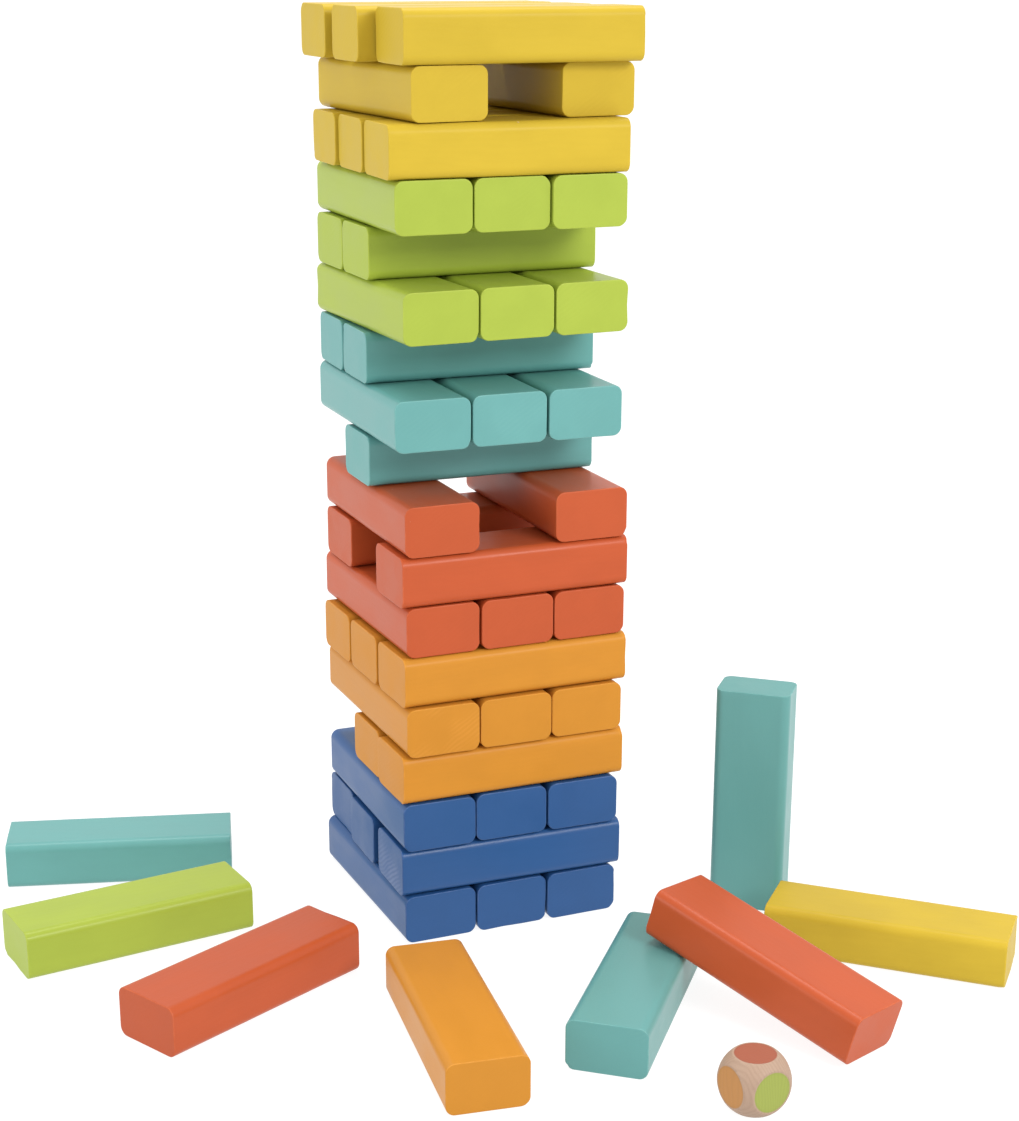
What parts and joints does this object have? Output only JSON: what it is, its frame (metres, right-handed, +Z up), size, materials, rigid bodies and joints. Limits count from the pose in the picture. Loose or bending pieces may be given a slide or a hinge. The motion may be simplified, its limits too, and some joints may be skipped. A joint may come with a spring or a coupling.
{
  "type": "giant tumbling tower",
  "caption": "Stacking game of painted wooden blocks in crossed layers, with drawn blocks and a colour die lying around its foot.",
  "frame": {"origin": "on the ground under the middle of the tower's bottom layer", "axes": "+Z up; -Y is the front, which the bottom layer's blocks point to with their ends; +X is to the right seen from the front"},
  "size_m": [0.7792, 0.6727, 0.7611],
  "materials": {
    "blue_paint": "satin blue paint on sanded wood",
    "orange_paint": "satin orange paint on sanded wood",
    "red_paint": "satin red paint on sanded wood",
    "teal_paint": "satin teal paint on sanded wood",
    "green_paint": "satin green paint on sanded wood",
    "yellow_paint": "satin yellow paint on sanded wood",
    "beech": "bare sanded beech with painted round flats"
  },
  "bodies": {
    "L01_left_blue": {"L01_left_blue": "blue_paint"},
    "L01_middle_blue": {"L01_middle_blue": "blue_paint"},
    "L01_right_blue": {"L01_right_blue": "blue_paint"},
    "L02_back_blue": {"L02_back_blue": "blue_paint"},
    "L02_front_blue": {"L02_front_blue": "blue_paint"},
    "L02_middle_blue": {"L02_middle_blue": "blue_paint"},
    "L03_left_blue": {"L03_left_blue": "blue_paint"},
    "L03_middle_blue": {"L03_middle_blue": "blue_paint"},
    "L03_right_blue": {"L03_right_blue": "blue_paint"},
    "L04_front_orange": {"L04_front_orange": "orange_paint"},
    "L04_middle_orange": {"L04_middle_orange": "orange_paint"},
    "L05_left_orange": {"L05_left_orange": "orange_paint"},
    "L05_middle_orange": {"L05_middle_orange": "orange_paint"},
    "L05_right_orange": {"L05_right_orange": "orange_paint"},
    "L06_back_orange": {"L06_back_orange": "orange_paint"},
    "L06_front_orange": {"L06_front_orange": "orange_paint"},
    "L06_middle_orange": {"L06_middle_orange": "orange_paint"},
    "L07_left_red": {"L07_left_red": "red_paint"},
    "L07_middle_red": {"L07_middle_red": "red_paint"},
    "L07_right_red": {"L07_right_red": "red_paint"},
    "L08_back_red": {"L08_back_red": "red_paint"},
    "L08_front_red": {"L08_front_red": "red_paint"},
    "L09_left_red": {"L09_left_red": "red_paint"},
    "L09_right_red": {"L09_right_red": "red_paint"},
    "L10_middle_teal": {"L10_middle_teal": "teal_paint"},
    "L11_left_teal": {"L11_left_teal": "teal_paint"},
    "L11_middle_teal": {"L11_middle_teal": "teal_paint"},
    "L11_right_teal": {"L11_right_teal": "teal_paint"},
    "L12_back_teal": {"L12_back_teal": "teal_paint"},
    "L12_middle_teal": {"L12_middle_teal": "teal_paint"},
    "L13_left_green": {"L13_left_green": "green_paint"},
    "L13_middle_green": {"L13_middle_green": "green_paint"},
    "L13_right_green": {"L13_right_green": "green_paint"},
    "L14_back_green": {"L14_back_green": "green_paint"},
    "L14_middle_green": {"L14_middle_green": "green_paint"},
    "L15_left_green": {"L15_left_green": "green_paint"},
    "L15_middle_green": {"L15_middle_green": "green_paint"},
    "L15_right_green": {"L15_right_green": "green_paint"},
    "L16_back_yellow": {"L16_back_yellow": "yellow_paint"},
    "L16_front_yellow": {"L16_front_yellow": "yellow_paint"},
    "L16_middle_yellow": {"L16_middle_yellow": "yellow_paint"},
    "L17_left_yellow": {"L17_left_yellow": "yellow_paint"},
    "L17_right_yellow": {"L17_right_yellow": "yellow_paint"},
    "L18_back_yellow": {"L18_back_yellow": "yellow_paint"},
    "L18_front_yellow": {"L18_front_yellow": "yellow_paint"},
    "L18_middle_yellow": {"L18_middle_yellow": "yellow_paint"},
    "colour_die": {"colour_die": "beech"},
    "leaning_red": {"leaning_red": "red_paint"},
    "loose_back_left_teal": {"loose_back_left_teal": "teal_paint"},
    "loose_front_left_red": {"loose_front_left_red": "red_paint"},
    "loose_front_middle_teal": {"loose_front_middle_teal": "teal_paint"},
    "loose_front_orange": {"loose_front_orange": "orange_paint"},
    "loose_left_green": {"loose_left_green": "green_paint"},
    "loose_right_yellow": {"loose_right_yellow": "yellow_paint"},
    "standing_teal": {"standing_teal": "teal_paint"}
  },
  "joints": [
    {"name": "slide_L01_left_blue", "type": "slide", "parent": "L01_middle_blue", "child": "L01_left_blue", "axis": [-0.0131, 0.9999, 0], "range_m": [0, 0.22]},
    {"name": "slide_L01_right_blue", "type": "slide", "parent": "L01_middle_blue", "child": "L01_right_blue", "axis": [-0.0131, 0.9999, 0], "range_m": [0, 0.22]},
    {"name": "slide_L02_front_blue", "type": "slide", "parent": "L01_middle_blue", "child": "L02_front_blue", "axis": [0.9999, -0.0131, 0], "range_m": [-0.22, 0]},
    {"name": "slide_L02_middle_blue", "type": "slide", "parent": "L01_middle_blue", "child": "L02_middle_blue", "axis": [0.9999, -0.0131, 0], "range_m": [-0.22, 0.22]},
    {"name": "slide_L02_back_blue", "type": "slide", "parent": "L01_middle_blue", "child": "L02_back_blue", "axis": [0.9999, -0.0131, 0], "range_m": [-0.22, 0.22]},
    {"name": "slide_L03_left_blue", "type": "slide", "parent": "L01_middle_blue", "child": "L03_left_blue", "axis": [0.0131, 0.9999, 0], "range_m": [0, 0.22]},
    {"name": "slide_L03_middle_blue", "type": "slide", "parent": "L01_middle_blue", "child": "L03_middle_blue", "axis": [0.0131, 0.9999, 0], "range_m": [0, 0.22]},
    {"name": "slide_L03_right_blue", "type": "slide", "parent": "L01_middle_blue", "child": "L03_right_blue", "axis": [0.0131, 0.9999, 0], "range_m": [0, 0.22]},
    {"name": "slide_L04_front_orange", "type": "slide", "parent": "L01_middle_blue", "child": "L04_front_orange", "axis": [1, 0.0044, 0], "range_m": [-0.22, 0]},
    {"name": "slide_L04_middle_orange", "type": "slide", "parent": "L01_middle_blue", "child": "L04_middle_orange", "axis": [1, 0.0044, 0], "range_m": [-0.22, 0.22]},
    {"name": "slide_L05_left_orange", "type": "slide", "parent": "L01_middle_blue", "child": "L05_left_orange", "axis": [-0.0044, 1, 0], "range_m": [-0.22, 0.22]},
    {"name": "slide_L05_middle_orange", "type": "slide", "parent": "L01_middle_blue", "child": "L05_middle_orange", "axis": [-0.0044, 1, 0], "range_m": [-0.22, 0.22]},
    {"name": "slide_L05_right_orange", "type": "slide", "parent": "L01_middle_blue", "child": "L05_right_orange", "axis": [-0.0044, 1, 0], "range_m": [-0.22, 0.22]},
    {"name": "slide_L06_front_orange", "type": "slide", "parent": "L01_middle_blue", "child": "L06_front_orange", "axis": [0.9999, 0.0131, 0], "range_m": [-0.22, 0.22]},
    {"name": "slide_L06_middle_orange", "type": "slide", "parent": "L01_middle_blue", "child": "L06_middle_orange", "axis": [0.9999, 0.0131, 0], "range_m": [-0.22, 0.22]},
    {"name": "slide_L06_back_orange", "type": "slide", "parent": "L01_middle_blue", "child": "L06_back_orange", "axis": [0.9999, 0.0131, 0], "range_m": [-0.22, 0.22]},
    {"name": "slide_L07_left_red", "type": "slide", "parent": "L01_middle_blue", "child": "L07_left_red", "axis": [-0.0131, 0.9999, 0], "range_m": [-0.22, 0.22]},
    {"name": "slide_L07_middle_red", "type": "slide", "parent": "L01_middle_blue", "child": "L07_middle_red", "axis": [-0.0131, 0.9999, 0], "range_m": [-0.22, 0.22]},
    {"name": "slide_L07_right_red", "type": "slide", "parent": "L01_middle_blue", "child": "L07_right_red", "axis": [-0.0131, 0.9999, 0], "range_m": [-0.22, 0.22]},
    {"name": "slide_L08_front_red", "type": "slide", "parent": "L01_middle_blue", "child": "L08_front_red", "axis": [1, 0.0044, 0], "range_m": [-0.22, 0.22]},
    {"name": "slide_L08_back_red", "type": "slide", "parent": "L01_middle_blue", "child": "L08_back_red", "axis": [1, 0.0044, 0], "range_m": [-0.22, 0.22]},
    {"name": "slide_L09_left_red", "type": "slide", "parent": "L01_middle_blue", "child": "L09_left_red", "axis": [0, 1, 0], "range_m": [-0.22, 0.22]},
    {"name": "slide_L09_right_red", "type": "slide", "parent": "L01_middle_blue", "child": "L09_right_red", "axis": [0, 1, 0], "range_m": [-0.22, 0.22]},
    {"name": "slide_L10_middle_teal", "type": "slide", "parent": "L01_middle_blue", "child": "L10_middle_teal", "axis": [0.9998, -0.0175, 0], "range_m": [-0.22, 0.22]},
    {"name": "slide_L11_left_teal", "type": "slide", "parent": "L01_middle_blue", "child": "L11_left_teal", "axis": [0.0175, 0.9998, 0], "range_m": [-0.22, 0.22]},
    {"name": "slide_L11_middle_teal", "type": "slide", "parent": "L01_middle_blue", "child": "L11_middle_teal", "axis": [0.0175, 0.9998, 0], "range_m": [-0.22, 0.22]},
    {"name": "slide_L11_right_teal", "type": "slide", "parent": "L01_middle_blue", "child": "L11_right_teal", "axis": [0.0175, 0.9998, 0], "range_m": [-0.22, 0.22]},
    {"name": "slide_L12_middle_teal", "type": "slide", "parent": "L01_middle_blue", "child": "L12_middle_teal", "axis": [0.9995, -0.0305, 0], "range_m": [-0.22, 0.22]},
    {"name": "slide_L12_back_teal", "type": "slide", "parent": "L01_middle_blue", "child": "L12_back_teal", "axis": [0.9995, -0.0305, 0], "range_m": [-0.22, 0.22]},
    {"name": "slide_L13_left_green", "type": "slide", "parent": "L01_middle_blue", "child": "L13_left_green", "axis": [-0.0262, 0.9997, 0], "range_m": [-0.22, 0.22]},
    {"name": "slide_L13_middle_green", "type": "slide", "parent": "L01_middle_blue", "child": "L13_middle_green", "axis": [-0.0262, 0.9997, 0], "range_m": [-0.22, 0.22]},
    {"name": "slide_L13_right_green", "type": "slide", "parent": "L01_middle_blue", "child": "L13_right_green", "axis": [-0.0262, 0.9997, 0], "range_m": [-0.22, 0.22]},
    {"name": "slide_L14_middle_green", "type": "slide", "parent": "L01_middle_blue", "child": "L14_middle_green", "axis": [1, 0.0044, 0], "range_m": [-0.22, 0.22]},
    {"name": "slide_L14_back_green", "type": "slide", "parent": "L01_middle_blue", "child": "L14_back_green", "axis": [1, 0.0044, 0], "range_m": [-0.22, 0.22]},
    {"name": "slide_L15_left_green", "type": "slide", "parent": "L01_middle_blue", "child": "L15_left_green", "axis": [0.0131, 0.9999, 0], "range_m": [-0.22, 0.22]},
    {"name": "slide_L15_middle_green", "type": "slide", "parent": "L01_middle_blue", "child": "L15_middle_green", "axis": [0.0131, 0.9999, 0], "range_m": [-0.22, 0.22]},
    {"name": "slide_L15_right_green", "type": "slide", "parent": "L01_middle_blue", "child": "L15_right_green", "axis": [0.0131, 0.9999, 0], "range_m": [-0.22, 0.22]},
    {"name": "slide_L16_front_yellow", "type": "slide", "parent": "L01_middle_blue", "child": "L16_front_yellow", "axis": [0.9994, -0.0349, 0], "range_m": [-0.22, 0.22]},
    {"name": "slide_L16_middle_yellow", "type": "slide", "parent": "L01_middle_blue", "child": "L16_middle_yellow", "axis": [0.9994, -0.0349, 0], "range_m": [-0.22, 0.22]},
    {"name": "slide_L16_back_yellow", "type": "slide", "parent": "L01_middle_blue", "child": "L16_back_yellow", "axis": [0.9994, -0.0349, 0], "range_m": [-0.22, 0.22]},
    {"name": "slide_L17_left_yellow", "type": "slide", "parent": "L01_middle_blue", "child": "L17_left_yellow", "axis": [-0.0436, 0.999, 0], "range_m": [-0.22, 0.22]},
    {"name": "slide_L17_right_yellow", "type": "slide", "parent": "L01_middle_blue", "child": "L17_right_yellow", "axis": [-0.0436, 0.999, 0], "range_m": [-0.22, 0.22]},
    {"name": "slide_L18_front_yellow", "type": "slide", "parent": "L01_middle_blue", "child": "L18_front_yellow", "axis": [1, -0.0087, 0], "range_m": [-0.22, 0.22]},
    {"name": "slide_L18_middle_yellow", "type": "slide", "parent": "L01_middle_blue", "child": "L18_middle_yellow", "axis": [1, -0.0087, 0], "range_m": [-0.22, 0.22]},
    {"name": "slide_L18_back_yellow", "type": "slide", "parent": "L01_middle_blue", "child": "L18_back_yellow", "axis": [1, -0.0087, 0], "range_m": [-0.22, 0.22]},
    {"name": "lift_colour_die", "type": "slide", "parent": "L01_middle_blue", "child": "colour_die", "axis": [0, 0, 1], "range_m": [0, 0.78]},
    {"name": "lift_leaning_red", "type": "slide", "parent": "loose_front_middle_teal", "child": "leaning_red", "axis": [0, 0, 1], "range_m": [0, 0.78]},
    {"name": "lift_loose_back_left_teal", "type": "slide", "parent": "L01_middle_blue", "child": "loose_back_left_teal", "axis": [0, 0, 1], "range_m": [0, 0.78]},
    {"name": "lift_loose_front_left_red", "type": "slide", "parent": "L01_middle_blue", "child": "loose_front_left_red", "axis": [0, 0, 1], "range_m": [0, 0.78]},
    {"name": "lift_loose_front_middle_teal", "type": "slide", "parent": "L01_middle_blue", "child": "loose_front_middle_teal", "axis": [0, 0, 1], "range_m": [0, 0.78]},
    {"name": "lift_loose_front_orange", "type": "slide", "parent": "L01_middle_blue", "child": "loose_front_orange", "axis": [0, 0, 1], "range_m": [0, 0.78]},
    {"name": "lift_loose_left_green", "type": "slide", "parent": "L01_middle_blue", "child": "loose_left_green", "axis": [0, 0, 1], "range_m": [0, 0.78]},
    {"name": "lift_loose_right_yellow", "type": "slide", "parent": "L01_middle_blue", "child": "loose_right_yellow", "axis": [0, 0, 1], "range_m": [0, 0.78]},
    {"name": "lift_standing_teal", "type": "slide", "parent": "L01_middle_blue", "child": "standing_teal", "axis": [0, 0, 1], "range_m": [0, 0.78]}
  ]
}
